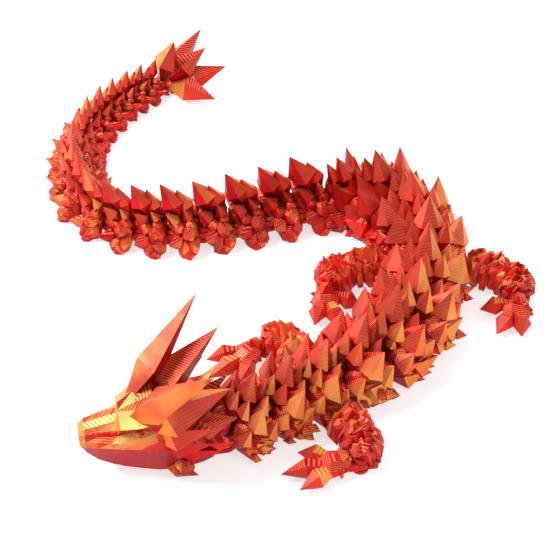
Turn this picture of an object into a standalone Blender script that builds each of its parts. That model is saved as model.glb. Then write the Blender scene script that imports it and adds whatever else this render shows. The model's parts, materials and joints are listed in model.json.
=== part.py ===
"""Articulated crystal dragon: a flat-bottomed desk toy whose segments are captive links.

Every segment ends in a fork with its own upright pin, and the next segment's eye turns on that
pin, so the whole chain, the legs included, bends sideways on upright hinges and stays flat on
the table. Lengths are in millimetres and become metres when a mesh is finished. In a segment's
own frame +X runs from its front eye towards the tail and +Z is up.
"""

import math

import bmesh
import bpy
from mathutils import Matrix, Vector

MM = 0.001

# The chain, from the neck to the end of the tail.
NECK_PITCH = 10.0
BODY_PITCH = 11.5
FIRST_TAIL_PITCH = 9.6
LAST_TAIL_PITCH = 4.9
NECK_SEGMENTS = 3
BODY_SEGMENTS = 7
TAPERED_SEGMENTS = 19
SHOULDER = 3
HIP = 8

# The rest pose: the head's heading, then the bend at each joint after it as (joints, degrees).
HEAD_HEADING = 10.0
REST_BENDS = (
    (1, 20),
    (2, 1),
    (1, 2),
    (4, 14),
    (4, 27),
    (1, 1),
    (2, -3),
    (2, -8),
    (1, -14),
    (2, -23),
    (5, -11),
    (4, -6),
    (1, -6),
)
NECK_JOINT = Vector((-12.1, -57.0, 0.0))
CENTRE_OFFSET = Vector((-1.99, -9.22, 0.0))

# Captive joints: the clearance is the same at every size, the rest grows with the pitch.
GAP = 0.35
EYE_CLEARANCE = GAP + 0.1
PIN_PER_PITCH = 0.115
EYE_PER_PITCH = 0.24
EYE_EXTRA = 0.45
PLATE_PER_PITCH = 0.10
PLATE_EXTRA = 0.35
EYE_HEIGHT_PER_PITCH = 0.18
EYE_HEIGHT_EXTRA = 0.5
ROUND_SIDES = 8

# Legs, all with joints of one size.
LEG_PITCH = 7.0
LUG_REACH = 9.5
LOWER_LEG = 7.6
LEGS = (
    # name, segment, side (+1 is the segment's +Y), upper length, foot length, three headings
    ("front_left", SHOULDER, -1, 8.0, 19.0, (-34, -98, -171)),
    ("front_right", SHOULDER, 1, 8.0, 19.0, (81, 164, 218)),
    ("hind_left", HIP, -1, 10.8, 15.0, (-19, -55, -108)),
    ("hind_right", HIP, 1, 10.8, 15.0, (189, 214, 272)),
)

# Pieces are drawn down to here and then cut off flat at the table, z = 0.
BELOW_TABLE = -0.5
# A tongue or fork starts this far inside its body, so that the two join.
OVERLAP = 0.3

# Spine crystals, in pitches: root x and y with its height as a share of the body's, tip x, y
# and z on the slimmest segment, what the tip's y and z gain on the broadest, breadth, depth.
DORSAL_CRYSTALS = (
    ((0.52, 0.0, 0.70), (1.40, 0.0, 1.85), (0.0, 0.25), 0.25, 0.17),
    ((0.40, 0.0, 0.70), (0.90, 0.0, 1.72), (0.0, 0.23), 0.20, 0.15),
)
LEAF_CRYSTAL = ((0.45, 0.20, 0.62), (1.16, 0.66, 1.28), (0.14, 0.22), 0.23, 0.16)
SIDE_CRYSTAL = ((0.42, 0.28, 0.34), (1.10, 0.92, 0.52), (0.18, 0.0), 0.17, 0.20)
# From this segment on a tail segment has no extra bulk; ahead of the other it has all of it.
SLIM_FROM = 30
BROAD_UNTIL = 10

# The head's sections (x, half width, bottom, top) ahead of its pin, and the crystals that it has
# on each side (root, tip, breadth, depth, waist): two horns, cheek, jaw spike, jaw knob and brow.
HEAD_SECTIONS = (
    (-34.3, 2.4, 8.5, 13.5),
    (-32.4, 3.6, 6.5, 15.4),
    (-27.8, 4.6, 4.0, 16.3),
    (-24.8, 5.4, 3.0, 17.4),
    (-23.3, 6.6, 2.2, 20.0),
    (-17.0, 8.0, BELOW_TABLE, 23.0),
    (-10.0, 7.4, BELOW_TABLE, 19.5),
)
HEAD_REAR = (5.0, BELOW_TABLE, 11.5)
HEAD_CRYSTALS = (
    ((-19.4, 2.6, 16.8), (-3.3, 14.0, 39.0), 3.7, 2.8, 0.38),
    ((-14.6, 3.1, 15.3), (1.0, 9.5, 30.3), 3.3, 2.4, 0.38),
    ((-14.0, 5.5, 11.0), (-4.8, 11.0, 17.5), 2.6, 2.4, 0.45),
    ((-12.0, 5.0, 6.5), (-2.6, 9.5, 9.5), 2.2, 2.0, 0.45),
    ((-15.3, 5.6, 3.9), (-6.5, 9.7, 3.0), 2.7, 2.5, 0.47),
    ((-17.2, 4.4, 16.8), (-25.0, 5.2, 19.6), 2.7, 2.4, 0.45),
)

# The fan at the end of the tail: yaw and rise in degrees, and length.
TAIL_FAN = (
    (28, 44, 14.0),
    (18, 30, 20.5),
    (2, 29, 17.5),
    (-14, 9, 20.0),
    (-28, 3, 17.5),
    (8, 5, 15.0),
)

# Toes: yaw in degrees, and reach as a share of the foot's length. The thumb is on the body side.
TOES = ((13, 1.0), (-13, 1.0))
THUMB_YAW = 48
THUMB_REACH = 0.68

RED = (0.55, 0.010, 0.018, 1.0)


def clear_scene():
    for leftover in list(bpy.data.objects):
        bpy.data.objects.remove(leftover, do_unlink=True)


def new_collection(name, hidden):
    made = bpy.data.collections.new(name)
    bpy.context.scene.collection.children.link(made)
    made.hide_render = hidden
    return made


def silk_plastic(name, colour):
    """Glossy silk filament."""
    made = bpy.data.materials.new(name)
    made.use_nodes = True
    shader = made.node_tree.nodes["Principled BSDF"]
    shader.inputs["Base Color"].default_value = colour
    shader.inputs["Roughness"].default_value = 0.32
    shader.inputs["Metallic"].default_value = 0.15
    return made


def turn_z(degrees):
    return Matrix.Rotation(math.radians(degrees), 4, "Z")


class JointSize:
    """The sizes of one captive joint, all from the pitch of the link that carries its pin."""

    def __init__(self, pitch):
        self.pin = PIN_PER_PITCH * pitch
        self.hole = self.pin + GAP
        self.eye = EYE_PER_PITCH * pitch + EYE_EXTRA
        self.plate = PLATE_PER_PITCH * pitch + PLATE_EXTRA
        self.eye_bottom = self.plate + GAP
        self.eye_top = self.eye_bottom + EYE_HEIGHT_PER_PITCH * pitch + EYE_HEIGHT_EXTRA
        self.fork_bottom = self.eye_top + GAP
        self.fork_top = self.fork_bottom + self.plate


class Shapes:
    """The meshes behind one piece: body, crystals, joint hollows and room for the neighbour."""

    def __init__(self):
        self.solid = bmesh.new()
        self.growth = bmesh.new()
        self.hollow = bmesh.new()
        self.relief = bmesh.new()

    def all(self):
        return self.solid, self.growth, self.hollow, self.relief


def disc(shape, x, y, bottom, top, radius):
    """An upright round bar. Returns its vertices."""
    place = Matrix.Translation((x, y, (top + bottom) / 2))
    made = bmesh.ops.create_cone(
        shape,
        cap_ends=True,
        segments=ROUND_SIDES,
        radius1=radius,
        radius2=radius,
        depth=top - bottom,
        matrix=place @ turn_z(180 / ROUND_SIDES),
    )
    return made["verts"]


def tongue(shape, start, end, radius, bottom, top):
    """An upright round bar at the end, with its near half drawn out flat to the start."""
    start = Vector(start)
    end = Vector(end)
    along = (end - start).normalized()
    for vert in disc(shape, end.x, end.y, bottom, top, radius):
        ahead = (vert.co.xy - end).dot(along)
        if ahead < 0:
            vert.co.xy += start - end - ahead * along


def loft(shape, stations):
    """Eight-sided rings joined in order along X; each station is (x, half width, bottom, top)."""
    rings = []
    for x, half_width, bottom, top in stations:
        ring = []
        for corner in range(8):
            angle = math.radians(22.5 + 45 * corner)
            across = half_width * math.cos(angle) / math.cos(math.radians(22.5))
            rise = (math.sin(angle) / math.cos(math.radians(22.5)) + 1) / 2
            ring.append(shape.verts.new((x, across, bottom + rise * (top - bottom))))
        rings.append(ring)
    for near, far in zip(rings, rings[1:]):
        for corner in range(8):
            following = (corner + 1) % 8
            # Two triangles, because the four corners need not lie in one plane.
            shape.faces.new((near[corner], near[following], far[following]))
            shape.faces.new((near[corner], far[following], far[corner]))
    shape.faces.new(rings[0])
    shape.faces.new(rings[-1])


def crystal(shape, root, tip, breadth, depth, waist=0.45):
    """A pointed crystal, from its buried root to its tip, widest at its waist.

    It starts as a sphere of five segments and three stacks, whose lower ring becomes the root
    and whose upper ring becomes the waist.
    """
    root = Vector(root)
    tip = Vector(tip)
    along = tip - root
    made = bmesh.ops.create_uvsphere(shape, u_segments=5, v_segments=3, radius=1.0)
    for vert in made["verts"]:
        if vert.co.z < -0.9:
            place, width = 0.0, 0.0
        elif vert.co.z < 0:
            place, width = 0.12, 0.62
        elif vert.co.z < 0.9:
            place, width = waist, 1.0
        else:
            place, width = 1.0, 0.0
        angle = math.atan2(vert.co.y, vert.co.x)
        vert.co.x = width * breadth * math.cos(angle)
        vert.co.y = width * depth * math.sin(angle)
        vert.co.z = place * along.length
    frame = along.to_track_quat("Z", "X").to_matrix().to_4x4()
    bmesh.ops.transform(shape, matrix=Matrix.Translation(root) @ frame, verts=made["verts"])


def add_eye(shapes, joint, reach):
    """The eye at the front of a link and the tongue that carries it back to the body."""
    tongue(shapes.solid, (reach, 0), (0, 0), joint.eye, joint.eye_bottom, joint.eye_top)
    disc(shapes.hollow, 0, 0, joint.plate, joint.fork_bottom, joint.hole)
    for bottom, top in ((-1.0, joint.eye_bottom), (joint.eye_top, joint.fork_top + GAP)):
        disc(shapes.relief, 0, 0, bottom, top, joint.eye + 1.5 * GAP)


def add_fork(shapes, joint, start, end):
    """The two plates and the upright pin that hold the next link's eye."""
    tongue(shapes.solid, start, end, joint.eye, -joint.plate, joint.plate)
    tongue(shapes.solid, start, end, joint.eye, joint.fork_bottom, joint.fork_top)
    disc(shapes.solid, *end, joint.plate / 2, joint.fork_top - joint.plate / 2, joint.pin)


def mesh_object(name, shape, matrix, collection):
    """Turns a shape in millimetres into an object in metres at its place."""
    bmesh.ops.recalc_face_normals(shape, faces=shape.faces)
    bmesh.ops.scale(shape, vec=(MM, MM, MM), verts=shape.verts)
    mesh = bpy.data.meshes.new(name)
    shape.to_mesh(mesh)
    shape.free()
    made = bpy.data.objects.new(name, mesh)
    made.data.materials.append(silk)
    turn, place = matrix.to_3x3().to_4x4(), matrix.to_translation()
    made.matrix_world = Matrix.Translation(place * MM) @ turn
    made.parent = origin
    collection.objects.link(made)
    return made


def add_boolean(piece, operation, other, overlapping):
    """A live Boolean; overlapping says that the operands' own shells run into each other."""
    made = piece.modifiers.new(operation.lower(), "BOOLEAN")
    made.operation = operation
    made.object = other
    made.use_self = overlapping


def finish_piece(name, shapes, matrix, shift=0.0):
    """One piece: body and crystals joined, joint hollows and everything under the table cut."""
    bmesh.ops.create_cube(shapes.hollow, size=120.0, matrix=Matrix.Translation((0, 0, -60.0)))
    for shape in shapes.all():
        bmesh.ops.translate(shape, vec=(shift, 0, 0), verts=shape.verts)
    has_relief = len(shapes.relief.verts) > 0
    piece = mesh_object(name, shapes.solid, matrix, parts)
    crystals = mesh_object(name + "_crystals", shapes.growth, matrix, cutters)
    hollows = mesh_object(name + "_hollows", shapes.hollow, matrix, cutters)
    helpers = [crystals, hollows]
    if has_relief:
        helpers.append(mesh_object(name + "_relief", shapes.relief, matrix, cutters))
        add_boolean(crystals, "DIFFERENCE", helpers[-1], True)
    for helper in helpers:
        helper.hide_render = True
        helper.display_type = "WIRE"
    add_boolean(piece, "UNION", crystals, True)
    add_boolean(piece, "DIFFERENCE", hollows, False)


def spine_segment(name, number, pitch, front_joint, matrix, shift):
    """One spine segment. Bulk is 1 for the broad body and falls towards the end of the tail."""
    shapes = Shapes()
    bulk = min(1.0, max(0.0, (SLIM_FROM - number) / (SLIM_FROM - BROAD_UNTIL)))
    joint = JointSize(pitch)
    front = front_joint.eye + EYE_CLEARANCE
    rear = pitch - joint.eye - GAP
    top = joint.fork_top + 0.24 * pitch
    loft(
        shapes.solid,
        (
            (front, 0.32 * pitch, BELOW_TABLE, 0.85 * top),
            (rear, (0.44 + 0.06 * bulk) * pitch, BELOW_TABLE, top),
        ),
    )
    add_eye(shapes, front_joint, front + OVERLAP)
    add_fork(shapes, joint, (rear - OVERLAP, 0), (pitch, 0))

    def grow(sizes, side):
        root, tip, gain, breadth, depth = sizes
        start = Vector((root[0] * pitch, side * root[1] * pitch, root[2] * top))
        end = Vector((tip[0], side * (tip[1] + gain[0] * bulk), tip[2] + gain[1] * bulk)) * pitch
        crystal(shapes.growth, start, end, breadth * pitch, depth * pitch)

    for sizes in DORSAL_CRYSTALS:
        grow(sizes, 1)
    for side in (-1, 1):
        grow(LEAF_CRYSTAL, side)
        if number in (SHOULDER, HIP):
            lug_start = (0.5 * pitch, side * 0.3 * pitch)
            lug_end = (0.5 * pitch, side * LUG_REACH)
            add_fork(shapes, JointSize(LEG_PITCH), lug_start, lug_end)
        elif number + 1 not in (SHOULDER, HIP):
            grow(SIDE_CRYSTAL, side)
    finish_piece(name, shapes, matrix, shift)


def head_piece(matrix):
    """Skull and jaw in one, two pairs of horns, cheek and jaw spikes; its pin is at the neck."""
    shapes = Shapes()
    joint = JointSize(NECK_PITCH)
    rear = -joint.eye - GAP
    loft(shapes.solid, HEAD_SECTIONS + ((rear, *HEAD_REAR),))
    add_fork(shapes, joint, (rear - OVERLAP, 0), (0, 0))
    for side in (-1, 1):
        mirror = Matrix.Diagonal((1, side, 1))
        for root, tip, breadth, depth, waist in HEAD_CRYSTALS:
            crystal(shapes.growth, mirror @ Vector(root), mirror @ Vector(tip), breadth, depth, waist)
    finish_piece("head", shapes, matrix)


def tail_tip_piece(front_joint, matrix):
    """The end of the tail: an eye and a fan of long crystals."""
    shapes = Shapes()
    front = front_joint.eye + EYE_CLEARANCE
    loft(shapes.solid, ((front, 1.8, BELOW_TABLE, 3.6), (front + 3.5, 2.4, BELOW_TABLE, 5.0)))
    add_eye(shapes, front_joint, front + OVERLAP)
    root = Vector((front + 1.5, 0, 2.6))
    for yaw, rise, length in TAIL_FAN:
        aim = turn_z(yaw) @ Matrix.Rotation(math.radians(-rise), 4, "Y") @ Vector((length, 0, 0))
        crystal(shapes.growth, root, root + aim, 3.2, 2.5, 0.48)
    finish_piece("tail_tip", shapes, matrix)


def leg_link(name, length, matrix):
    """An upper or lower leg: an eye, a short body with crystals and a fork."""
    shapes = Shapes()
    joint = JointSize(LEG_PITCH)
    front = joint.eye + EYE_CLEARANCE
    rear = length - joint.eye - GAP
    top = joint.fork_top + 1.2
    loft(shapes.solid, ((front, 1.9, BELOW_TABLE, top - 0.4), (rear, 2.3, BELOW_TABLE, top)))
    add_eye(shapes, joint, front + OVERLAP)
    add_fork(shapes, joint, (rear - OVERLAP, 0), (length, 0))
    middle = (front + rear) / 2
    crystal(shapes.growth, (middle - 0.5, 0, 0.6 * top), (middle + 1.0, 0, 10.0), 1.7, 1.4)
    for side in (-1, 1):
        root = (middle - 0.4, side * 0.6, 0.5 * top)
        crystal(shapes.growth, root, (middle + 0.8, side * 3.6, 7.0), 1.3, 1.2)
    finish_piece(name, shapes, matrix)


def foot_piece(name, length, side, matrix):
    """A foot: an eye at the heel, a palm, two long toes and a thumb on the body side."""
    shapes = Shapes()
    joint = JointSize(LEG_PITCH)
    front = joint.eye + EYE_CLEARANCE
    loft(shapes.solid, ((front, 1.7, BELOW_TABLE, 4.6), (front + 4.0, 3.0, BELOW_TABLE, 4.8)))
    add_eye(shapes, joint, front + OVERLAP)
    for yaw, reach in TOES + ((side * THUMB_YAW, THUMB_REACH),):
        aim = turn_z(yaw) @ Vector((1, 0, 0))
        root = Vector((front + 1.2, 0, 2.2)) + 1.2 * aim
        crystal(shapes.growth, root, length * reach * aim + Vector((0, 0, 0.9)), 2.2, 2.1, 0.4)
    finish_piece(name, shapes, matrix)


clear_scene()
parts = new_collection("crystal_dragon", False)
cutters = new_collection("cutters", True)
silk = silk_plastic("red_gold_silk", RED)
origin = bpy.data.objects.new("dragon_origin", None)
origin.location = CENTRE_OFFSET * MM
parts.objects.link(origin)

pitches = [NECK_PITCH] * NECK_SEGMENTS + [BODY_PITCH] * BODY_SEGMENTS
for step in range(TAPERED_SEGMENTS):
    share = step / (TAPERED_SEGMENTS - 1)
    pitches.append(FIRST_TAIL_PITCH + share * (LAST_TAIL_PITCH - FIRST_TAIL_PITCH))
bends = [bend for count, bend in REST_BENDS for _ in range(count)]
names = [f"neck_segment_{count}" for count in range(1, SHOULDER)] + ["shoulder_segment"]
names += [f"body_segment_{count}" for count in range(1, HIP - SHOULDER)] + ["hip_segment"]
names += [f"tail_segment_{count:02d}" for count in range(1, len(pitches) - HIP + 1)]


def stand(place, heading):
    """A joint's place, turned to a heading."""
    return Matrix.Translation(place) @ turn_z(heading)


heading = HEAD_HEADING
place = NECK_JOINT.copy()
joint = JointSize(NECK_PITCH)
frames = {}
head_piece(stand(place, heading))
for number, (name, pitch, bend) in enumerate(zip(names, pitches, bends), start=1):
    heading += bend
    frames[number] = stand(place, heading)
    following = frames[number] @ Vector((pitch, 0, 0))
    # Ahead of the hip a segment turns on its own pin, and from the hip back on its eye.
    if number < HIP:
        spine_segment(name, number, pitch, joint, stand(following, heading), -pitch)
    else:
        spine_segment(name, number, pitch, joint, frames[number], 0.0)
    place = following
    joint = JointSize(pitch)
tail_tip_piece(joint, stand(place, heading + bends[-1]))

for leg, segment, side, upper_length, foot_length, headings in LEGS:
    place = frames[segment] @ Vector((0.5 * pitches[segment - 1], side * LUG_REACH, 0))
    leg_link(leg + "_upper_leg", upper_length, stand(place, headings[0]))
    place = stand(place, headings[0]) @ Vector((upper_length, 0, 0))
    leg_link(leg + "_lower_leg", LOWER_LEG, stand(place, headings[1]))
    place = stand(place, headings[1]) @ Vector((LOWER_LEG, 0, 0))
    foot_piece(leg + "_foot", foot_length, side, stand(place, headings[2]))
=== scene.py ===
import json
import math
import random
from collections import namedtuple

import bmesh
import bpy
from mathutils import Matrix, Vector


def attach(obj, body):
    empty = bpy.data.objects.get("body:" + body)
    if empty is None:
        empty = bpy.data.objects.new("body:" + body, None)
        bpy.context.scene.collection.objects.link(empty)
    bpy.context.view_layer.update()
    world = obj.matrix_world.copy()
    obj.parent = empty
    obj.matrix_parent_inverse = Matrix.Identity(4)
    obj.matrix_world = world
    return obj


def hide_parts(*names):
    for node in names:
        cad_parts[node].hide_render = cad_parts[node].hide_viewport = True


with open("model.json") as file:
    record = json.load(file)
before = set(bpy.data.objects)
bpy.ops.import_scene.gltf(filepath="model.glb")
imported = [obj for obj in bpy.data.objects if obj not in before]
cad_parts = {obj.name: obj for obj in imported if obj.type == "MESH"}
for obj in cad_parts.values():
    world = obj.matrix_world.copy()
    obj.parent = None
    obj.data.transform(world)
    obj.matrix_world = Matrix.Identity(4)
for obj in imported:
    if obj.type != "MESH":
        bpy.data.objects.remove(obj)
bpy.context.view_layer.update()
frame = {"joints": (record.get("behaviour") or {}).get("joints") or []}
MM = 0.001

# The silk filament: two colours run side by side through one nozzle, red and gold, so a facet
# shows one or the other by the way it faces. Every piece is printed from it in level layers,
# whose edges show as a bump and, wherever a facet lies shallow, as contour stripes of painted
# highlight.
LAYER = 0.28 * MM


class Wire:
    """A node's output; Python arithmetic on it adds Math nodes."""

    def __init__(self, plan, socket):
        self.plan = plan
        self.socket = socket

    def math(self, operation, *others):
        values = dict(enumerate((self,) + others))
        return self.plan.add("ShaderNodeMath", {"operation": operation}, values)

    def __add__(self, other):
        return self.math("ADD", other)

    def __sub__(self, other):
        return self.math("SUBTRACT", other)

    def __rsub__(self, other):
        return self.math("MULTIPLY_ADD", -1.0, other)

    def __mul__(self, other):
        return self.math("MULTIPLY", other)

    def __truediv__(self, other):
        return self.math("DIVIDE", other)

    __radd__ = __add__
    __rmul__ = __mul__

    def ramp(self, low, high):
        """0 at low, 1 at high, and smooth between."""
        settings = {"interpolation_type": "SMOOTHSTEP"}
        return self.plan.add("ShaderNodeMapRange", settings, {0: self, 1: low, 2: high})


class Plan:
    """The nodes of one tree."""

    def __init__(self, tree):
        self.tree = tree

    def add(self, kind, settings=None, values=None, out=0):
        node = self.tree.nodes.new(kind)
        for key, value in (settings or {}).items():
            setattr(node, key, value)
        for key, value in (values or {}).items():
            if isinstance(value, Wire):
                self.tree.links.new(value.socket, node.inputs[key])
            else:
                node.inputs[key].default_value = value
        return Wire(self, node.outputs[out])

    def blend(self, factor, first, second):
        """A colour between two."""
        return self.add("ShaderNodeMix", {"data_type": "RGBA"}, {0: factor, 6: first, 7: second}, 2)


UNDERSIDE_SHADE_RED = (0.24, 0.001, 0.004, 1.0)
DEEP_RED = (0.46, 0.001, 0.006, 1.0)
RED = (0.80, 0.008, 0.014, 1.0)
SALMON = (1.0, 0.21, 0.11, 1.0)
ORANGE = (0.86, 0.14, 0.018, 1.0)
GOLD = (0.90, 0.38, 0.055, 1.0)
PALE = (1.0, 0.56, 0.22, 1.0)


def silk_filament(name):
    made = bpy.data.materials.new(name)
    made.use_nodes = True
    plan = Plan(made.node_tree)
    shader = made.node_tree.nodes["Principled BSDF"]
    place = plan.add("ShaderNodeTexCoord", out="Object")
    height = plan.add("ShaderNodeSeparateXYZ", values={0: place}, out=2)
    gold = plan.add("ShaderNodeAttribute", {"attribute_name": "gold"}, out="Fac")
    level = plan.add("ShaderNodeAttribute", {"attribute_name": "level"}, out="Fac")
    # The run of a layer wanders a little, so its edge isn't a straight line.
    wander = plan.add("ShaderNodeTexNoise", values={"Vector": place, "Scale": 420.0, "Detail": 2.0})
    layers = (height + (wander - 0.5) * (0.35 * LAYER)) / LAYER
    wave = (layers * math.tau).math("SINE") * 0.5 + 0.5
    # Along a facet the two colours drift slowly into each other.
    drift = plan.add("ShaderNodeTexNoise", values={"Vector": place, "Scale": 95.0, "Detail": 3.0})
    split = (gold + (drift - 0.5) * 0.45).ramp(0.36, 0.56)
    bright = (gold + (drift - 0.5) * 0.8).ramp(0.45, 0.95)
    red_side = plan.blend(drift.ramp(0.35, 0.7), DEEP_RED, RED)
    gold_side = plan.blend(bright, ORANGE, GOLD)
    body = plan.blend(split, red_side, gold_side)
    # Faces that look downwards, overhangs and undersides such as the jaw, are blended towards a dark
    # red: painted shade.
    body = plan.blend(level.ramp(-0.50, 0.20), UNDERSIDE_SHADE_RED, body)
    # The treads of the layers on shallow facets are painted lighter, salmon over red and pale gold
    # over gold: painted highlight.
    tread_highlight = plan.blend(split, SALMON, PALE)
    shallow = level.ramp(0.10, 0.55)
    highlight_stripes = wave.ramp(0.40, 0.75) * shallow
    plan.tree.links.new(plan.blend(highlight_stripes * 0.85, body, tread_highlight).socket, shader.inputs["Base Color"])
    relief = wave * 0.6 + drift * 0.4
    bump = plan.add(
        "ShaderNodeBump",
        values={"Height": relief, "Strength": 0.55, "Distance": 0.25 * LAYER},
    )
    plan.tree.links.new(bump.socket, shader.inputs["Normal"])
    rough = plan.add("ShaderNodeTexNoise", values={"Vector": place, "Scale": 900.0, "Detail": 1.0})
    plan.tree.links.new((rough * 0.16 + 0.32).socket, shader.inputs["Roughness"])
    shader.inputs["Metallic"].default_value = 0.60
    shader.inputs["Specular IOR Level"].default_value = 0.20
    return made


silk = silk_filament("red_gold_silk")


# Crystals grow from roots: each root is a loose vertex that carries its tip's offset, its
# breadth and depth and its kind (1 a pointed crystal, 2 a blunt lump). The tree puts one there,
# crumbles its facets a little and lays flat what would reach under the print bed.
def crystal_tree():
    tree = bpy.data.node_groups.new("grow_crystals", "GeometryNodeTree")
    io = tree.interface
    io.new_socket("Geometry", in_out="INPUT", socket_type="NodeSocketGeometry")
    for name, kind, default in (
        ("Facets", "NodeSocketInt", 6),
        ("Waist", "NodeSocketFloat", 0.42),
        ("Crumble", "NodeSocketFloat", 0.30),
        ("Grain", "NodeSocketFloat", 300.0),
        ("Gold Side", "NodeSocketVector", (-0.85, 0.0, 0.25)),
        ("Gold Share", "NodeSocketFloat", 0.15),
        ("Seed", "NodeSocketInt", 1),
        ("Silk", "NodeSocketMaterial", None),
    ):
        made = io.new_socket(name, in_out="INPUT", socket_type=kind)
        if default is not None:
            made.default_value = default
    io.new_socket("Geometry", in_out="OUTPUT", socket_type="NodeSocketGeometry")
    plan = Plan(tree)
    group_in = tree.nodes.new("NodeGroupInput")

    def given(name):
        return Wire(plan, group_in.outputs[name])

    def named(name, kind="FLOAT"):
        return plan.add("GeometryNodeInputNamedAttribute", {"data_type": kind}, {"Name": name})

    kind = named("kind")
    is_root = kind.math("GREATER_THAN", 0.5)
    split = plan.add(
        "GeometryNodeSeparateGeometry", {"domain": "POINT"}, {0: given("Geometry"), 1: is_root}
    )
    core = Wire(plan, split.socket.node.outputs[1])
    # A pointed crystal is two cones set base to base at its waist.
    waist = given("Waist")
    low = plan.add(
        "GeometryNodeMeshCone",
        {"fill_type": "NONE"},
        {"Vertices": given("Facets"), "Radius Top": 1.0, "Radius Bottom": 0.0, "Depth": waist},
    )
    high = plan.add(
        "GeometryNodeMeshCone",
        {"fill_type": "NONE"},
        {"Vertices": given("Facets"), "Radius Top": 0.0, "Radius Bottom": 1.0, "Depth": 1 - waist},
    )
    lift = plan.add("ShaderNodeCombineXYZ", values={2: waist})
    high = plan.add("GeometryNodeTransform", values={"Geometry": high, "Translation": lift})
    pointed = plan.add("GeometryNodeJoinGeometry", values={0: low})
    tree.links.new(high.socket, pointed.socket.node.inputs[0])
    pointed = plan.add("GeometryNodeMergeByDistance", values={0: pointed, "Distance": 0.001})
    # A blunt lump is a coarse ball over the same length.
    lump = plan.add("GeometryNodeMeshIcoSphere", values={"Radius": 1.0, "Subdivisions": 2})
    lump = plan.add(
        "GeometryNodeTransform",
        values={"Geometry": lump, "Translation": (0.0, 0.0, 0.5), "Scale": (1.0, 1.0, 0.5)},
    )
    aim = named("tip", "FLOAT_VECTOR")
    upright = plan.add("FunctionNodeAlignRotationToVector", {"axis": "Z"}, {"Vector": aim})
    turned = plan.add(
        "FunctionNodeAlignRotationToVector",
        {"axis": "X", "pivot_axis": "Z"},
        {"Rotation": upright, "Vector": named("broad", "FLOAT_VECTOR")},
    )
    length = plan.add("ShaderNodeVectorMath", {"operation": "LENGTH"}, {0: aim}, "Value")
    scale = plan.add(
        "ShaderNodeCombineXYZ", values={0: named("breadth"), 1: named("depth"), 2: length}
    )
    grown = plan.add("GeometryNodeJoinGeometry", values={0: core})
    is_pointed = kind.math("LESS_THAN", 1.5)
    is_lump = kind.math("GREATER_THAN", 1.5)
    for shape, chosen in ((pointed, is_pointed), (lump, is_lump)):
        placed = plan.add(
            "GeometryNodeInstanceOnPoints",
            values={
                "Points": split,
                "Selection": chosen,
                "Instance": shape,
                "Rotation": turned,
                "Scale": scale,
            },
        )
        tree.links.new(placed.socket, grown.socket.node.inputs[0])
    solid = plan.add("GeometryNodeRealizeInstances", values={0: grown})
    # Crumbling: every point shifts by noise, in proportion to its crystal's breadth.
    spot = plan.add("GeometryNodeInputPosition")
    seed = given("Seed")
    shaken = plan.add(
        "ShaderNodeTexNoise",
        {"noise_dimensions": "4D"},
        {"Vector": spot, "W": seed * 7.31, "Scale": given("Grain"), "Detail": 1.0},
        "Color",
    )
    centred = plan.add(
        "ShaderNodeVectorMath", {"operation": "SUBTRACT"}, {0: shaken, 1: (0.5, 0.5, 0.5)}
    )
    amount = given("Crumble") * named("breadth")
    shift = plan.add("ShaderNodeVectorMath", {"operation": "SCALE"}, {0: centred, "Scale": amount})
    solid = plan.add("GeometryNodeSetPosition", values={0: solid, "Offset": shift})
    spot = plan.add("GeometryNodeInputPosition")
    parts = plan.add("ShaderNodeSeparateXYZ", values={0: spot})
    flat = plan.add(
        "ShaderNodeCombineXYZ",
        values={
            0: parts,
            1: Wire(plan, parts.socket.node.outputs[1]),
            2: Wire(plan, parts.socket.node.outputs[2]).math("MAXIMUM", 0.0),
        },
    )
    solid = plan.add("GeometryNodeSetPosition", values={0: solid, "Position": flat})
    # How far a face looks to the gold side, and how level it lies, stay with it.
    normal = plan.add("GeometryNodeInputNormal")
    side = plan.add(
        "ShaderNodeVectorMath",
        {"operation": "DOT_PRODUCT"},
        {0: normal, 1: given("Gold Side")},
        "Value",
    )
    island = plan.add("GeometryNodeInputMeshIsland", out="Island Index")
    luck = plan.add(
        "FunctionNodeRandomValue",
        {"data_type": "FLOAT"},
        {"Min": -0.15, "Max": 0.15, "ID": island, "Seed": seed},
        1,
    )
    facet = plan.add(
        "FunctionNodeRandomValue",
        {"data_type": "FLOAT"},
        {"Min": -0.1, "Max": 0.1, "Seed": seed},
        1,
    )
    level = plan.add("ShaderNodeSeparateXYZ", values={0: normal}, out=2)
    # Faces that look downwards lose gold as well and come out a deeper red: painted shade on
    # undersides such as the jaw.
    gold = side * 0.6 + luck + facet + given("Gold Share") + level.math("MINIMUM", 0.0)
    solid = plan.add(
        "GeometryNodeStoreNamedAttribute",
        {"data_type": "FLOAT", "domain": "FACE"},
        {0: solid, "Name": "gold", "Value": gold},
    )
    solid = plan.add(
        "GeometryNodeStoreNamedAttribute",
        {"data_type": "FLOAT", "domain": "FACE"},
        {0: solid, "Name": "level", "Value": level},
    )
    solid = plan.add("GeometryNodeSetShadeSmooth", values={0: solid, "Shade Smooth": False})
    solid = plan.add("GeometryNodeSetMaterial", values={0: solid, "Material": given("Silk")})
    out = tree.nodes.new("NodeGroupOutput")
    tree.links.new(solid.socket, out.inputs[0])
    return tree


grow_crystals = crystal_tree()
BAR_SIDES = 20


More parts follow.
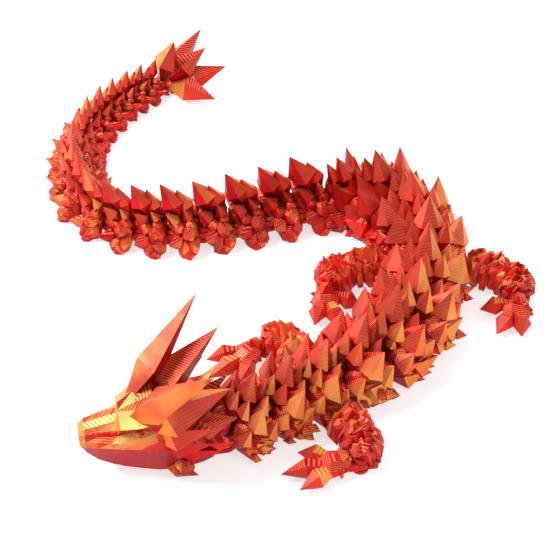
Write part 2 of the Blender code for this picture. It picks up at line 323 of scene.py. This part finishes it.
class Growth:
    """The core of one piece and the roots of its crystals, in the piece's own frame."""

    def __init__(self, scale):
        self.scale = scale
        self.mesh = bmesh.new()
        floats = self.mesh.verts.layers.float
        self.kind = floats.new("kind")
        self.breadth = floats.new("breadth")
        self.depth = floats.new("depth")
        vectors = self.mesh.verts.layers.float_vector
        self.tip = vectors.new("tip")
        self.broad = vectors.new("broad")

    def root(self, start, end, breadth, depth, kind=1.0, broad=None):
        if broad is None:
            # The broad way runs round the body, across the way the crystal looks out of it.
            middle = (Vector(start) + Vector(end)) / 2
            broad = Vector((0.0, -(middle.z - 0.3), middle.y))
        start = Vector(start) * self.scale
        vert = self.mesh.verts.new(start)
        vert[self.kind] = kind
        vert[self.breadth] = breadth * self.scale
        vert[self.depth] = depth * self.scale
        vert[self.tip] = Vector(end) * self.scale - start
        vert[self.broad] = broad

    def bar(self, start, end, radius, bottom, top, hole=0.0):
        """An upright flat tongue, round at its far end, with a round hole there if asked."""
        start = Vector(start) * MM
        end = Vector(end) * MM
        along = (end - start).normalized()
        rings = []
        for size in (radius, hole) if hole else (radius,):
            for z in (bottom, top):
                ring = []
                for number in range(BAR_SIDES):
                    angle = math.tau * (number + 0.5) / BAR_SIDES
                    spot = Vector((math.cos(angle), math.sin(angle))) * size * MM
                    if size == radius and spot.dot(along) < 0 and (start - end).length > 0:
                        spot += start - end - spot.dot(along) * along
                    ring.append(self.mesh.verts.new((*(end + spot), z * MM)))
                rings.append(ring)
        walls = [(rings[0], rings[1])]
        if hole:
            walls += [(rings[1], rings[3]), (rings[3], rings[2]), (rings[2], rings[0])]
        else:
            self.mesh.faces.new(rings[1])
            self.mesh.faces.new(reversed(rings[0]))
        for low, high in walls:
            for number in range(BAR_SIDES):
                after = (number + 1) % BAR_SIDES
                self.mesh.faces.new((low[number], low[after], high[after], high[number]))

    def core(self, sections, sides=10, crumble=0.0):
        """A closed body through sections across X: (x, half width, bottom, top)."""
        rings = []
        for x, half, bottom, top in sections:
            ring = []
            for number in range(sides):
                angle = math.tau * (number + 0.5) / sides
                across = half * math.cos(angle)
                rise = (math.sin(angle) + 1) / 2
                spot = Vector((x, across, bottom + rise * (top - bottom)))
                vert = self.mesh.verts.new(spot * self.scale)
                vert[self.breadth] = crumble * self.scale
                ring.append(vert)
            rings.append(ring)
        for near, far in zip(rings, rings[1:]):
            for number in range(sides):
                after = (number + 1) % sides
                self.mesh.faces.new((near[number], near[after], far[after], far[number]))
        self.mesh.faces.new(reversed(rings[0]))
        self.mesh.faces.new(rings[-1])

    def finish(self, name, place, body, **inputs):
        """Grows the crystals and gives the piece to its body in place of the CAD node."""
        source = bpy.data.meshes.new(name)
        bmesh.ops.recalc_face_normals(self.mesh, faces=self.mesh.faces)
        self.mesh.to_mesh(source)
        self.mesh.free()
        made = bpy.data.objects.new(name, source)
        bpy.context.scene.collection.objects.link(made)
        grower = made.modifiers.new("grow", "NODES")
        grower.node_group = grow_crystals
        inputs["Silk"] = silk
        for item in grow_crystals.interface.items_tree:
            if item.in_out == "INPUT" and item.name in inputs:
                grower[item.identifier] = inputs[item.name]
        graph = bpy.context.evaluated_depsgraph_get()
        grown = bpy.data.meshes.new_from_object(made.evaluated_get(graph))
        made.modifiers.clear()
        made.data = grown
        grown.name = name
        grown.transform(place)
        whole = bmesh.new()
        whole.from_mesh(grown)
        bmesh.ops.recalc_face_normals(whole, faces=whole.faces)
        whole.to_mesh(grown)
        whole.free()
        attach(made, body)
        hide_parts(body)


# Neck, body and tail segments: each is one print, a crumbled core under a coat of crystals that
# lean towards the tail like shingles, with an eye in front and a fork and pin behind. The fork
# was printed round the next segment's eye, which is all that holds the chain together.
spine = [joint for joint in frame["joints"] if joint["name"].endswith("_bend")]
spots = [Vector(joint["pos_m"]) for joint in spine]
chain = ["head", "neck_segment_1", "neck_segment_2", "shoulder_segment"]
chain += [f"body_segment_{number}" for number in range(1, 5)] + ["hip_segment"]
chain += [f"tail_segment_{number:02d}" for number in range(1, 22)] + ["tail_tip"]
FIRST_SLENDER = 12
# In millimetres: the clearance, what the core keeps off the fork beyond it, and how far eyes and
# forks run into the core; then the legs' joint size and where their forks start and end.
GAP = 0.35
CORE_SLACK = 0.1
OVERLAP = 0.3
LEG_PITCH = 7.0
LUG_START = 4.0
LUG_REACH = 9.5

JointSizes = namedtuple("JointSizes", "pin eye plate eye_low eye_high upper_low upper_high")


def joint_sizes(pitch):
    """The radii of pin and eye, the plates' thickness, and the heights of eye and upper plate."""
    pin = 0.115 * pitch
    eye = 0.24 * pitch + 0.45
    plate = 0.10 * pitch + 0.35
    eye_top = plate + GAP + 0.18 * pitch + 0.5
    return JointSizes(pin, eye, plate, plate + GAP, eye_top, eye_top + GAP, eye_top + GAP + plate)


def add_eye(growth, sizes, reach):
    growth.bar((reach, 0), (0, 0), sizes.eye, sizes.eye_low, sizes.eye_high, sizes.pin + GAP)


def add_fork(growth, sizes, start, end):
    low, high = sizes.upper_low, sizes.upper_high
    growth.bar(start, end, sizes.eye, 0.0, sizes.plate)
    growth.bar(start, end, sizes.eye, low, high)
    growth.bar(end, end, sizes.pin, sizes.plate / 2, (low + high) / 2)


# Root, tip, breadth, depth and kind, in pitches; those off the middle are on both sides.
BODY_COAT = (
    ((0.36, 0.0, 0.6), (0.86, 0.0, 2.08), 0.36, 0.26, 1),
    ((0.06, 0.0, 0.7), (0.40, 0.0, 1.76), 0.24, 0.20, 1),
    ((0.66, 0.0, 0.6), (1.14, 0.0, 1.76), 0.26, 0.20, 1),
    ((0.22, 0.26, 0.60), (0.46, 0.46, 1.72), 0.24, 0.18, 1),
    ((0.58, 0.28, 0.55), (0.98, 0.50, 1.58), 0.25, 0.18, 1),
    ((0.28, 0.40, 0.30), (0.76, 0.86, 1.60), 0.42, 0.26, 1),
    ((0.02, 0.46, 0.32), (0.30, 0.94, 1.12), 0.27, 0.20, 1),
    ((0.54, 0.46, 0.30), (1.02, 0.96, 1.00), 0.32, 0.22, 1),
    ((0.16, 0.44, 0.20), (0.96, 1.02, 0.66), 0.40, 0.26, 1),
    ((0.06, 0.36, 0.14), (0.58, 0.98, 0.36), 0.34, 0.24, 1),
    ((0.32, 0.40, 0.04), (0.90, 1.00, 0.14), 0.32, 0.22, 1),
    ((0.10, 0.36, 0.50), (0.36, 0.70, 1.08), 0.24, 0.20, 2),
    ((0.62, 0.40, 0.50), (0.94, 0.70, 1.02), 0.24, 0.20, 2),
    ((0.82, 0.12, 0.50), (1.10, 0.16, 1.16), 0.22, 0.22, 2),
)
TAIL_COAT = (
    ((0.46, 0.0, 0.60), (1.26, 0.0, 2.42), 0.34, 0.40, 1),
    ((0.30, 0.0, 0.64), (0.76, 0.0, 2.14), 0.26, 0.32, 1),
    ((0.28, 0.12, 0.64), (0.60, 0.30, 1.52), 0.22, 0.18, 1),
    ((0.54, 0.16, 0.60), (1.16, 0.42, 1.50), 0.26, 0.20, 1),
    ((0.26, 0.22, 0.60), (0.46, 0.48, 1.10), 0.20, 0.18, 2),
    ((0.60, 0.28, 0.55), (0.86, 0.56, 1.04), 0.21, 0.19, 2),
    ((0.28, 0.26, 0.44), (0.56, 0.78, 0.92), 0.30, 0.26, 2),
    ((0.50, 0.30, 0.36), (1.10, 1.00, 0.72), 0.28, 0.22, 1),
    ((0.28, 0.26, 0.28), (0.36, 0.92, 0.38), 0.36, 0.23, 2),
    ((0.54, 0.32, 0.20), (0.68, 0.94, 0.28), 0.36, 0.23, 2),
    ((0.42, 0.40, 0.08), (0.54, 0.98, 0.08), 0.30, 0.26, 2),
    ((0.84, 0.08, 0.46), (1.08, 0.12, 0.96), 0.20, 0.20, 2),
)
# The core's half width and height, in pitches; how many crumbs lie on it; its share of gold and
# the way its gold facets look.
STOUT = ((0.74, 1.12), 26, 0.08, (-0.45, -0.8, -0.1))
SLENDER = ((0.46, 0.95), 16, 0.04, (-0.7, 0.35, 0.2))
# The neck and the segments next to the legs, whose side crystals leave them room.
NARROWED = (1, 2, 3, 4, 7, 8, 9)


def spread_of(number):
    """How far a segment's side crystals reach out, against the coat as it is listed."""
    if number in NARROWED:
        return 0.84
    if number > 19:
        return 1.25
    if number > 15:
        return 1.10
    return 1.0


def add_crumbs(growth, count, seed, start, end, half, tall, size):
    """Small splinters between the crystals, leaning out of the core and back."""
    draw = random.Random(seed)
    for _ in range(count):
        angle = math.radians(draw.uniform(-4, 184))
        out = Vector((draw.uniform(0.0, 0.9), math.cos(angle), max(math.sin(angle), 0.0))).normalized()
        root = Vector((draw.uniform(start, end), half * math.cos(angle), tall * (0.15 + 0.75 * out.z)))
        reach = draw.uniform(0.7, 1.3) * size
        growth.root(root - 0.4 * size * out, root + reach * out, 0.42 * reach, 0.30 * reach)


for number in range(1, len(chain) - 1):
    front, rear = spots[number - 1], spots[number]
    pitch = (rear - front).length / MM
    heading = math.atan2(rear.y - front.y, rear.x - front.x)
    place = Matrix.Translation((front.x, front.y, 0)) @ Matrix.Rotation(heading, 4, "Z")
    ahead = (front - spots[number - 2]).length / MM if number > 1 else pitch
    own, before = joint_sizes(pitch), joint_sizes(ahead)
    growth = Growth(pitch * MM)
    start = (before.eye + GAP + CORE_SLACK) / pitch
    end = 1 - (own.eye + GAP) / pitch
    slender = number >= FIRST_SLENDER
    (wide, tall), crumbs, share, look = SLENDER if slender else STOUT
    growth.core(
        (
            (start, 0.7 * wide, 0.0, 0.86 * tall),
            ((2 * start + end) / 3, wide, -0.1, tall),
            ((start + 2 * end) / 3, wide, -0.1, tall),
            (end, 0.8 * wide, 0.0, 0.92 * tall),
        ),
        crumble=0.40,
    )
    add_eye(growth, before, start * pitch + OVERLAP)
    add_fork(growth, own, (end * pitch - OVERLAP, 0), (pitch, 0))
    if chain[number] in ("shoulder_segment", "hip_segment"):
        for side in (-1, 1):
            lug_start, lug_end = side * LUG_START, side * LUG_REACH
            add_fork(
                growth, joint_sizes(LEG_PITCH), (0.5 * pitch, lug_start), (0.5 * pitch, lug_end)
            )
    spread = spread_of(number)
    for root, tip, breadth, depth, kind in TAIL_COAT if slender else BODY_COAT:
        for side in (-1, 1) if root[1] else (1,):
            growth.root(
                (root[0], side * root[1], root[2]),
                (tip[0], side * spread * tip[1], tip[2]),
                breadth,
                depth,
                kind,
            )
    add_crumbs(growth, crumbs, number, 0.2, 0.9, 1.1 * wide, tall, 0.32)
    growth.finish(
        chain[number] + "_print",
        place,
        chain[number],
        **{
            "Seed": number,
            "Grain": 5200.0 / pitch,
            "Waist": 0.56,
            "Crumble": 0.80,
            "Gold Share": share,
            "Gold Side": look,
        },
    )


# The head: skull and jaw are one print with two pairs of horns. The muzzle stands clear of the
# table, the brow hangs over a sunk eye, and a level lip runs back over the smooth lower jaw.
HEAD_HEADING = math.radians(10)
NECK_PITCH = 10.0
HEAD_RINGS = (
    # x, then half a section from the crown's middle down to the jaw's middle, as (y, z)
    (
        -34.4,
        (0, 13.0), (1.2, 12.8), (2.0, 12.2), (2.3, 11.4),
        (2.6, 10.8), (2.7, 10.0), (1.9, 8.8), (0, 8.5),
    ),
    (
        -33.0,
        (0, 14.4), (1.7, 14.0), (2.8, 13.1), (3.0, 12.1),
        (3.6, 11.5), (4.0, 10.3), (2.9, 7.2), (0, 6.6),
    ),
    (
        -30.3,
        (0, 15.2), (1.9, 14.8), (3.1, 13.8), (3.2, 12.4),
        (4.4, 11.7), (4.9, 10.4), (3.7, 5.0), (0, 4.2),
    ),
    (
        -27.0,
        (0, 16.0), (2.0, 15.6), (3.6, 14.4), (3.6, 12.6),
        (5.2, 11.8), (5.8, 10.6), (4.4, 3.6), (0, 2.6),
    ),
    (
        -25.4,
        (0, 16.4), (2.0, 16.2), (4.1, 14.8), (4.0, 12.8),
        (5.8, 12.0), (6.4, 10.8), (4.9, 3.4), (0, 2.4),
    ),
    (
        -24.8,
        (0, 17.2), (1.4, 18.4), (5.4, 16.2), (4.4, 13.4),
        (6.1, 12.2), (6.7, 10.9), (5.1, 3.2), (0, 2.0),
    ),
    (
        -20.6,
        (0, 19.4), (3.2, 20.0), (7.2, 18.0), (5.2, 15.2),
        (7.1, 13.7), (7.9, 11.4), (6.0, 2.6), (0, 0.8),
    ),
    (
        -16.5,
        (0, 21.0), (4.4, 21.0), (7.9, 19.4), (7.2, 16.0),
        (8.3, 13.9), (8.9, 11.8), (6.7, 2.0), (0, 0),
    ),
    (
        -11.5,
        (0, 21.4), (4.6, 20.6), (8.2, 17.4), (8.4, 14.8),
        (8.8, 12.6), (8.9, 10.2), (7.2, 2.0), (0, 0),
    ),
    (
        -6.0,
        (0, 17.6), (3.8, 16.8), (6.6, 14.2), (7.0, 12.2),
        (7.0, 10.0), (6.8, 7.6), (5.6, 1.4), (0, 0),
    ),
    (
        -3.3,
        (0, 12.8), (3.0, 12.2), (4.6, 10.6), (4.9, 9.0),
        (5.0, 7.4), (4.8, 5.6), (4.0, 0.8), (0, 0),
    ),
)
# Root, tip, breadth, depth and kind in millimetres, on both sides: horns, brow, cheeks and jaw.
HEAD_COAT = (
    ((-24.2, 1.8, 14.6), (-3.6, 13.4, 39.0), 4.6, 3.8, 1),
    ((-20.4, 3.4, 13.0), (0.6, 9.8, 30.6), 5.8, 4.8, 1),
    ((-18.5, 5.0, 12.0), (-3.0, 11.4, 19.6), 4.0, 3.2, 1),
    ((-17.0, 6.2, 10.6), (-3.6, 10.8, 13.6), 3.4, 2.8, 1),
    ((-14.0, 5.0, 6.8), (-2.4, 9.8, 9.6), 3.0, 2.8, 1),
    ((-15.6, 5.6, 2.6), (-7.6, 10.2, 2.2), 3.0, 2.6, 1),
    ((-12.8, 7.0, 4.0), (-8.6, 9.8, 4.6), 2.2, 1.8, 2),
    ((-11.0, 1.6, 12.0), (-0.6, 4.8, 23.5), 3.6, 2.6, 1),
    ((-9.0, 3.4, 10.4), (2.2, 6.8, 17.0), 3.4, 2.6, 1),
    ((-7.0, 4.6, 6.4), (1.4, 8.0, 10.0), 2.8, 2.4, 1),
    ((-2.6, 1.2, 5.0), (0.6, 1.8, 11.4), 2.2, 2.2, 2),
    ((-21.6, 5.0, 14.2), (-19.4, 6.4, 14.8), 0.9, 0.7, 2),
)
place = Matrix.Translation(spots[0] * Vector((1, 1, 0))) @ Matrix.Rotation(HEAD_HEADING, 4, "Z")
growth = Growth(MM)
rings = []
for x, *half in HEAD_RINGS:
    ring = [growth.mesh.verts.new(Vector((x, y, z)) * MM) for y, z in half]
    ring += [growth.mesh.verts.new(Vector((x, -y, z)) * MM) for y, z in reversed(half[1:-1])]
    rings.append(ring)
for near, far in zip(rings, rings[1:]):
    for number in range(len(near)):
        after = (number + 1) % len(near)
        growth.mesh.faces.new((near[number], near[after], far[after]))
        growth.mesh.faces.new((near[number], far[after], far[number]))
growth.mesh.faces.new(rings[0])
growth.mesh.faces.new(rings[-1])
own = joint_sizes(NECK_PITCH)
add_fork(growth, own, (-own.eye - GAP - OVERLAP, 0), (0, 0))
for root, tip, breadth, depth, kind in HEAD_COAT:
    for side in (-1, 1):
        growth.root(
            (root[0], side * root[1], root[2]), (tip[0], side * tip[1], tip[2]), breadth, depth, kind
        )
# A hair of filament was left hanging from the left brow to the knob of the jaw.
HAIR = (
    ((-18.6, -6.6, 19.4), (-15.4, -9.3, 12.0)),
    ((-15.6, -9.2, 12.6), (-9.2, -9.6, 4.4)),
)
HAIR_BREADTH = 0.16
for start, end in HAIR:
    growth.root(start, end, HAIR_BREADTH, HAIR_BREADTH)
growth.finish(
    "head_print",
    place,
    "head",
    **{
        "Seed": 40,
        "Facets": 4,
        "Crumble": 0.12,
        "Waist": 0.40,
        "Gold Share": 0.12,
        "Gold Side": (-0.9, 0.0, 0.20),
    },
)


# The tail tip: a short body whose eye turns on the last segment's pin, and out of it a fan of
# long clear-cut crystals, the largest of them upright.
TIP_HEADING = math.radians(32)
# Root, tip, breadth and depth in millimetres.
TIP_FAN = (
    ((2.4, 0.2, 2.6), (6.6, -1.4, 17.0), 4.4, 3.4),
    ((3.2, 0.8, 2.2), (19.2, 5.0, 12.0), 3.8, 3.2),
    ((3.2, -0.6, 2.2), (16.2, -2.6, 11.4), 4.0, 3.2),
    ((3.4, -1.0, 2.0), (20.4, -6.6, 5.6), 4.1, 3.2),
    ((3.0, -0.8, 2.4), (12.0, -15.0, 2.8), 4.6, 3.4),
    ((3.2, 0.4, 2.0), (15.6, 1.8, 5.0), 3.2, 2.8),
)
before = joint_sizes((spots[-1] - spots[-2]).length / MM)
place = Matrix.Translation(spots[-1] * Vector((1, 1, 0))) @ Matrix.Rotation(TIP_HEADING, 4, "Z")
growth = Growth(MM)
start = before.eye + GAP + CORE_SLACK
growth.core(
    (
        (start, 1.6, 0.0, 3.4),
        (start + 1.8, 2.3, -0.2, 4.6),
        (start + 4.0, 2.2, -0.2, 4.8),
    ),
    crumble=1.2,
)
add_eye(growth, before, start + OVERLAP)
for root, tip, breadth, depth in TIP_FAN:
    growth.root(root, tip, breadth, depth)
add_crumbs(growth, 30, 51, start, start + 5.0, 2.6, 4.0, 2.0)
growth.finish(
    "tail_tip_print",
    place,
    "tail_tip",
    **{
        "Seed": 50,
        "Facets": 5,
        "Crumble": 0.10,
        "Waist": 0.46,
        "Gold Share": 0.16,
        "Gold Side": (-0.85, 0.5, 0.0),
    },
)


# Legs: an upper and a lower link for each, crumbled lumps on the same eyes and forks as the
# spine's, all of one joint size.
LIMBS = ("front_left", "front_right", "hind_left", "hind_right")
places = {joint["name"]: Vector(joint["pos_m"]) * Vector((1, 1, 0)) for joint in frame["joints"]}
LEG_COAT = (
    ((0.36, 0.0, 0.40), (0.62, 0.0, 1.56), 0.36, 0.30, 1),
    ((0.20, 0.10, 0.36), (0.30, 0.30, 1.40), 0.30, 0.24, 1),
    ((0.56, 0.10, 0.36), (0.88, 0.30, 1.44), 0.30, 0.24, 1),
    ((0.14, 0.46, 0.0), (0.16, 0.30, 1.12), 0.24, 0.18, 2),
    ((0.34, 0.56, 0.0), (0.38, 0.36, 1.20), 0.24, 0.22, 2),
    ((0.56, 0.58, 0.0), (0.60, 0.34, 1.12), 0.24, 0.22, 2),
    ((0.78, 0.52, 0.0), (0.84, 0.32, 1.18), 0.24, 0.22, 2),
    ((0.98, 0.40, 0.0), (1.04, 0.26, 1.00), 0.22, 0.18, 2),
    ((0.88, 0.06, 0.46), (1.04, 0.10, 1.20), 0.32, 0.32, 2),
)
own = joint_sizes(LEG_PITCH)
for limb_number, limb in enumerate(LIMBS):
    for link, first, last in (("upper_leg", "hip", "knee"), ("lower_leg", "knee", "ankle")):
        front, rear = places[f"{limb}_{first}"], places[f"{limb}_{last}"]
        length = (rear - front).length / MM
        heading = math.atan2(rear.y - front.y, rear.x - front.x)
        place = Matrix.Translation(front) @ Matrix.Rotation(heading, 4, "Z")
        growth = Growth(LEG_PITCH * MM)
        start = (own.eye + GAP + CORE_SLACK) / LEG_PITCH
        end = (length - own.eye - GAP) / LEG_PITCH
        reach = end + 0.06 - start
        growth.core(
            (
                (start, 0.34, 0.0, 0.90),
                (start + 0.18 * reach, 0.52, 0.0, 1.18),
                (start + 0.38 * reach, 0.44, 0.0, 1.02),
                (start + 0.58 * reach, 0.56, 0.0, 1.22),
                (start + 0.80 * reach, 0.46, 0.0, 1.06),
                (end + 0.06, 0.40, 0.0, 0.96),
            ),
            sides=12,
            crumble=0.34,
        )
        add_eye(growth, own, start * LEG_PITCH + OVERLAP)
        add_fork(growth, own, (end * LEG_PITCH - OVERLAP, 0), (length, 0))
        stretch = length / LEG_PITCH
        for root, tip, breadth, depth, kind in LEG_COAT:
            for side in (-1, 1) if root[1] else (1,):
                growth.root(
                    (root[0] * stretch, side * root[1], root[2]),
                    (tip[0] * stretch, side * tip[1], tip[2]),
                    breadth,
                    depth,
                    kind,
                )
        seed = 60 + 2 * limb_number + (link == "lower_leg")
        add_crumbs(growth, 34, seed, start, end + 0.3, 0.56, 1.10, 0.15)
        growth.finish(
            f"{limb}_{link}_print",
            place,
            f"{limb}_{link}",
            **{
                "Seed": seed,
                "Grain": 1300.0,
                "Crumble": 1.6,
                "Waist": 0.5,
            },
        )


# Feet: a heel that turns on the lower leg's pin, a sloping back and three toes, each a long
# wedge that ends in a point. On a hind foot the toe on the body's side stands off like a thumb.
FEET = (
    # Limb, heading, length, the body's side, and each toe's yaw to that side and reach.
    ("front_left", -171, 19.0, -1, ((-20, 0.87), (-1, 1.0), (22, 0.80))),
    ("front_right", 218, 19.0, 1, ((-20, 0.87), (-1, 1.0), (22, 0.80))),
    ("hind_left", -108, 15.0, -1, ((-13, 0.95), (12, 1.02), (50, 0.80))),
    ("hind_right", 272, 15.0, 1, ((-13, 0.95), (12, 1.02), (50, 0.80))),
)
for number, (limb, heading, length, side, toes) in enumerate(FEET):
    heel = places[limb + "_ankle"]
    place = Matrix.Translation(heel) @ Matrix.Rotation(math.radians(heading), 4, "Z")
    growth = Growth(MM)
    start = own.eye + GAP + CORE_SLACK
    growth.core(
        (
            (start, 2.0, 0.0, 5.0),
            (start + 2.0, 3.0, 0.0, 5.8),
            (start + 0.26 * length, 3.8, 0.0, 5.0),
            (start + 0.44 * length, 3.0, 0.0, 3.0),
        ),
        sides=8,
        crumble=1.0,
    )
    add_eye(growth, own, start + OVERLAP)
    for yaw, reach in toes:
        aim = Matrix.Rotation(math.radians(side * yaw), 3, "Z") @ Vector((1, 0, 0))
        root = Vector((start + 0.2, 0, 2.8)) + 1.2 * aim
        across = (-aim.y, aim.x, 0)
        growth.root(root, length * reach * aim + Vector((0, 0, 1.5)), 2.6, 3.2, 1, across)
    growth.root((start + 0.5, 0, 2.0), (start + 3.0, 0, 7.4), 2.0, 2.0)
    add_crumbs(growth, 16, 90 + number, start, start + 3.0, 2.2, 4.6, 1.8)
    growth.finish(
        limb + "_foot_print",
        place,
        limb + "_foot",
        **{"Seed": 80 + number, "Crumble": 0.25, "Waist": 0.60, "Gold Share": 0.14},
    )


# Floor, light and camera: a plain white table under broad soft light from above and the left,
# with a weak fill from the right, seen from halfway up.
FLOOR_HALF = 3
FLOOR_DROP = 0.0002
floor_mesh = bpy.data.meshes.new("floor")
corners = ((-1, -1), (1, -1), (1, 1), (-1, 1))
floor_mesh.from_pydata([(FLOOR_HALF * x, FLOOR_HALF * y, 0) for x, y in corners], [], [(0, 1, 2, 3)])
floor = bpy.data.objects.new("floor", floor_mesh)
floor.location.z = -FLOOR_DROP
bpy.context.scene.collection.objects.link(floor)
pale = bpy.data.materials.new("white_table")
pale.use_nodes = True
pale_shader = pale.node_tree.nodes["Principled BSDF"]
pale_shader.inputs["Base Color"].default_value = (0.80, 0.80, 0.80, 1.0)
pale_shader.inputs["Roughness"].default_value = 0.9
pale_shader.inputs["Emission Color"].default_value = (1.0, 1.0, 1.0, 1.0)
pale_shader.inputs["Emission Strength"].default_value = 0.64
floor.data.materials.append(pale)

world = bpy.data.worlds.new("soft_room")
world.use_nodes = True
world.node_tree.nodes["Background"].inputs["Color"].default_value = (1.0, 1.0, 1.0, 1.0)
world.node_tree.nodes["Background"].inputs["Strength"].default_value = 0.32
bpy.context.scene.world = world

for name, spot, size, power in (
    ("key", (-0.42, 0.02, 0.52), 0.30, 5.0),
    ("fill", (0.45, -0.35, 0.45), 0.5, 0.9),
    ("back", (0.05, 0.55, 0.45), 0.4, 1.4),
):
    lamp = bpy.data.lights.new(name, "AREA")
    lamp.size = size
    lamp.energy = power
    lit = bpy.data.objects.new(name, lamp)
    lit.location = spot
    lit.rotation_euler = (-Vector(spot)).to_track_quat("-Z", "Y").to_euler()
    bpy.context.scene.collection.objects.link(lit)

CAMERA_RISE = math.radians(45)
CAMERA_DISTANCE = 0.5
target = Vector((-0.00199, -0.00922, 0.0))
lens = bpy.data.cameras.new("camera")
lens.lens = 125.6
lens.sensor_width = 36.0
camera = bpy.data.objects.new("camera", lens)
away = Vector((0, -math.cos(CAMERA_RISE), math.sin(CAMERA_RISE)))
camera.location = target + CAMERA_DISTANCE * away
camera.rotation_euler = (-away).to_track_quat("-Z", "Y").to_euler()
bpy.context.scene.collection.objects.link(camera)
bpy.context.scene.camera = camera
bpy.context.scene.view_settings.view_transform = "Standard"
